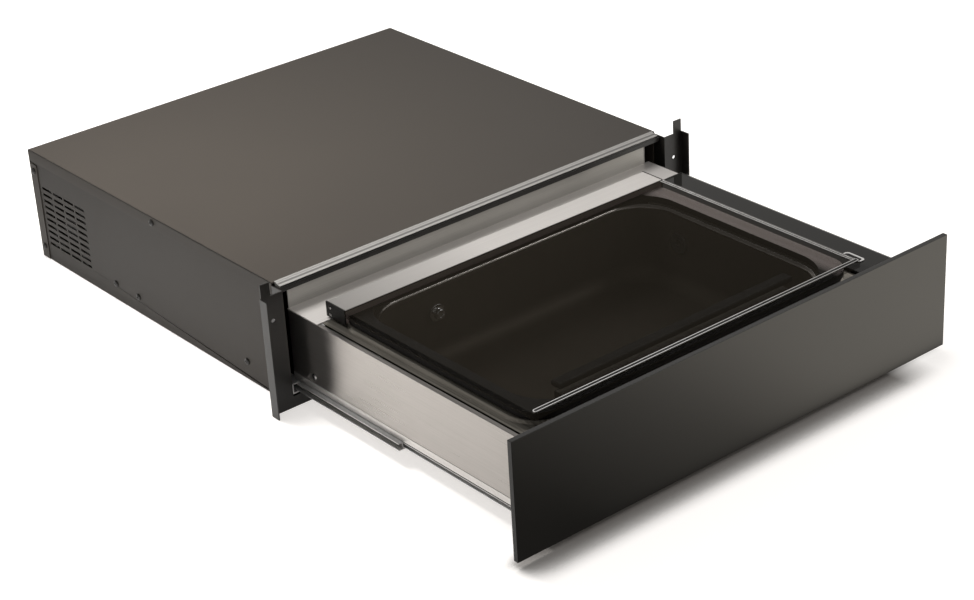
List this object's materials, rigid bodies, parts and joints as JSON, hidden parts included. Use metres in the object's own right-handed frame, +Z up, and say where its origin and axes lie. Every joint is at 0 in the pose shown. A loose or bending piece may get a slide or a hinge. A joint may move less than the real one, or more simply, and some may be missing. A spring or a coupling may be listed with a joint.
{
  "type": "vacuum sealing drawer",
  "caption": "Built-in kitchen vacuum sealing drawer: dark casing, pull-out steel drawer with a deep chamber under a hinged dark glass lid, and a flat dark front panel.",
  "frame": {"origin": "on the casing floor's underside, on the centre line, below the top sheet's front edge", "axes": "+X to the right seen from the front, +Y to the back, +Z up"},
  "size_m": [0.594, 0.913, 0.1525],
  "materials": {
    "casing_paint": "satin dark grey powder coat",
    "black_paint": "satin black",
    "zinc": "plain zinc-plated sheet",
    "zinc_light": "bright plain sheet",
    "brushed": "brushed lengthways",
    "tub_steel": "deep-drawn satin steel",
    "bright_trim": "polished",
    "cast_metal": "cast satin",
    "core_steel": "dull",
    "black_plastic": "satin black",
    "rubber": "matt",
    "board_green": "satin",
    "seal_tape": "woven tape, satin",
    "panel_glass": "dark grey back-painted front, satin gloss",
    "control_glass": "black back-printed glass",
    "lid_glass": "dark tinted safety glass"
  },
  "bodies": {
    "casing": {"casing_tray": "casing_paint", "top_cover": "casing_paint", "rear_cover": "casing_paint", "front_top_rail": "casing_paint", "top_trim_strip": "bright_trim", "front_lower_rail": "black_paint", "bracket_left": "black_paint", "bracket_right": "black_paint", "casing_screws": "black_paint", "slide_outer_left": "zinc", "slide_outer_right": "zinc", "bulkhead": "zinc", "pump_head": "cast_metal", "pump_motor": "black_paint", "pump_base": "zinc", "pump_mounts": "rubber", "solenoid_valve": "black_plastic", "pump_hose": "rubber", "transformer": "core_steel", "power_board": "board_green", "fan_housing": "black_plastic", "mains_inlet": "black_plastic", "push_catch_body": "black_plastic"},
    "fan": {"fan_rotor": "black_plastic"},
    "plunger": {"catch_plunger": "bright_trim"},
    "mid_left": {"slide_mid_left": "zinc"},
    "mid_right": {"slide_mid_right": "zinc"},
    "drawer": {"drawer_carrier": "zinc_light", "drawer_side_left": "brushed", "drawer_side_right": "brushed", "drawer_back": "zinc", "rear_deck": "brushed", "chamber_tub": "tub_steel", "front_panel": "panel_glass", "panel_backing": "zinc", "slide_inner_left": "zinc", "slide_inner_right": "zinc", "control_glass": "control_glass", "console_housing": "black_plastic", "control_board": "board_green", "hinge_brackets": "zinc", "hinge_pins": "bright_trim", "vacuum_port": "cast_metal", "seal_transformer": "core_steel", "seal_posts": "bright_trim", "drawer_screws": "bright_trim"},
    "seal": {"seal_bar": "cast_metal", "seal_strip": "seal_tape"},
    "lid": {"lid_frame": "black_plastic", "lid_glass": "lid_glass", "lid_rear_cover": "brushed", "lid_end_caps": "black_plastic", "lid_cap_screws": "bright_trim", "lid_hinge_arms": "zinc", "lid_gasket": "rubber", "counter_bar": "rubber", "lid_front_trim": "bright_trim", "lid_side_trim": "bright_trim", "lid_catch": "bright_trim"}
  },
  "joints": [
    {"name": "mid_left_slide", "type": "slide", "parent": "casing", "child": "mid_left", "axis": [0, -1, 0], "range_m": [-0.1885, 0]},
    {"name": "mid_right_slide", "type": "slide", "parent": "casing", "child": "mid_right", "axis": [0, -1, 0], "range_m": [-0.1885, 0]},
    {"name": "drawer_slide", "type": "slide", "parent": "casing", "child": "drawer", "axis": [0, -1, 0], "range_m": [-0.377, 0]},
    {"name": "lid_hinge", "type": "hinge", "parent": "drawer", "child": "lid", "pos_m": [0, -0.0535, 0.117], "axis": [-1, 0, 0], "range_deg": [0, 80]},
    {"name": "seal_bar_lift", "type": "slide", "parent": "drawer", "child": "seal", "axis": [0, 0, 1], "range_m": [0, 0.0065]},
    {"name": "fan_spin", "type": "hinge", "parent": "casing", "child": "fan", "pos_m": [-0.255, 0.432, 0.06], "axis": [1, 0, 0], "continuous": true},
    {"name": "catch_push", "type": "slide", "parent": "casing", "child": "plunger", "axis": [0, 1, 0], "range_m": [0, 0.006], "stiffness_N_per_m": 200}
  ],
  "couplings": [
    {"joint": "mid_left_slide", "follows": "drawer_slide", "ratio": 0.5},
    {"joint": "mid_right_slide", "follows": "drawer_slide", "ratio": 0.5}
  ]
}
